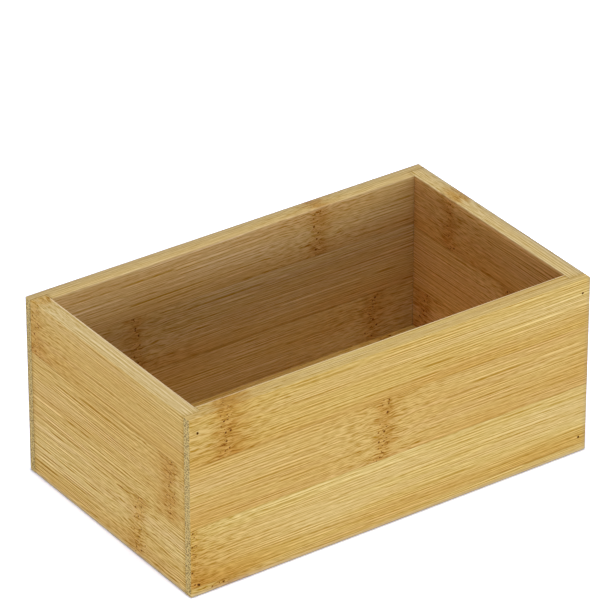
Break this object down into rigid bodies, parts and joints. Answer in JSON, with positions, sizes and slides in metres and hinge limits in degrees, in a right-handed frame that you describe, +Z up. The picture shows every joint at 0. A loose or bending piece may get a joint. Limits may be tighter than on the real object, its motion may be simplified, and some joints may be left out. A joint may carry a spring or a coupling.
{
  "type": "open storage box",
  "caption": "Small open-topped rectangular storage box of glued bamboo strips, with rabbeted and pinned corners and an inset floor, for desk or dressing-table items.",
  "frame": {"origin": "middle of the footprint, on the surface the box stands on", "axes": "+X along the long walls, to the right as seen from the front; +Y from the front wall to the rear wall; +Z up"},
  "size_m": [0.15, 0.0904, 0.0625],
  "materials": {
    "bamboo_pale": "satin clear lacquer on pale flat-grain bamboo",
    "bamboo_golden": "satin clear lacquer on golden flat-grain bamboo",
    "bamboo_ochre": "satin clear lacquer on ochre flat-grain bamboo",
    "bamboo_floor": "satin clear lacquer on thin flat-grain bamboo",
    "pin_steel": "dull wire"
  },
  "bodies": {
    "root": {"front_wall_upper_strip": "bamboo_pale", "front_wall_middle_strip": "bamboo_golden", "front_wall_lower_strip": "bamboo_pale", "front_wall_foot_strip": "bamboo_golden", "rear_wall_upper_strip": "bamboo_golden", "rear_wall_middle_strip": "bamboo_pale", "rear_wall_lower_strip": "bamboo_golden", "rear_wall_foot_strip": "bamboo_golden", "left_wall_upper_strip": "bamboo_ochre", "left_wall_middle_strip": "bamboo_golden", "left_wall_lower_strip": "bamboo_ochre", "right_wall_upper_strip": "bamboo_golden", "right_wall_middle_strip": "bamboo_ochre", "right_wall_lower_strip": "bamboo_golden", "floor_front_strip": "bamboo_floor", "floor_front_middle_strip": "bamboo_floor", "floor_rear_middle_strip": "bamboo_floor", "floor_rear_strip": "bamboo_floor", "front_left_pins": "pin_steel", "front_right_pins": "pin_steel", "rear_left_pins": "pin_steel", "rear_right_pins": "pin_steel"}
  },
  "joints": []
}
